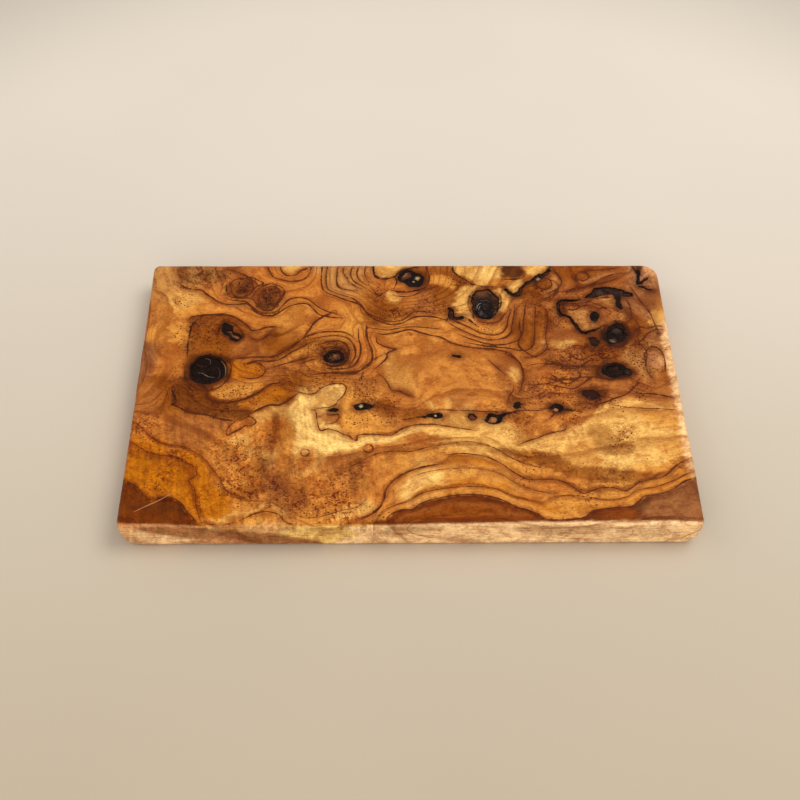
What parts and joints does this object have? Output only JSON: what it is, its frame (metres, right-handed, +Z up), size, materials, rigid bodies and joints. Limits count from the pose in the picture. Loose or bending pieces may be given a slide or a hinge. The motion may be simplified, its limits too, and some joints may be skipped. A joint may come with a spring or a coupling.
{
  "type": "cutting board",
  "caption": "Rectangular burl-wood cutting board with softly rounded edges, undercut ends, and dead knots and bark pockets sealed in dark resin.",
  "frame": {"origin": "middle of the underside, on the surface that the board lies on", "axes": "+X along the length, to the right seen from the front; +Y from the front edge to the back edge; +Z up out of the cutting surface"},
  "size_m": [0.32, 0.2, 0.019],
  "materials": {
    "burl_wood": "oiled, satin, with swirling burl figure",
    "dead_knot": "oiled, rough, checked",
    "bark": "rough, fibrous",
    "dark_resin": "glossy, sanded edge"
  },
  "bodies": {
    "root": {"board_slab": "burl_wood", "left_knot": "dead_knot", "left_knot_resin": "dark_resin", "peanut_knot": "dead_knot", "peanut_knot_resin": "dark_resin", "eye_knot": "dead_knot", "eye_knot_resin": "dark_resin", "back_knot": "dead_knot", "back_knot_resin": "dark_resin", "round_knot_bark": "bark", "round_knot_resin": "dark_resin", "pocket_bark": "bark", "back_seam_bark": "bark", "right_seam_bark": "bark", "right_seam_resin": "dark_resin", "loop_bark": "bark", "pin_knot_resin": "dark_resin", "corner_knot": "dead_knot", "corner_knot_resin": "dark_resin", "thumb_knot_resin": "dark_resin", "side_knot": "dead_knot", "side_knot_resin": "dark_resin", "low_knot_resin": "dark_resin", "left_slit_resin": "dark_resin", "short_slit_resin": "dark_resin", "middle_slit_resin": "dark_resin", "red_knot": "dead_knot", "front_knot": "dead_knot", "front_knot_resin": "dark_resin", "bead_knot_resin": "dark_resin", "fork_knot": "dead_knot", "fork_knot_resin": "dark_resin", "honey_slit_resin": "dark_resin", "corner_crack_resin": "dark_resin"}
  },
  "joints": []
}
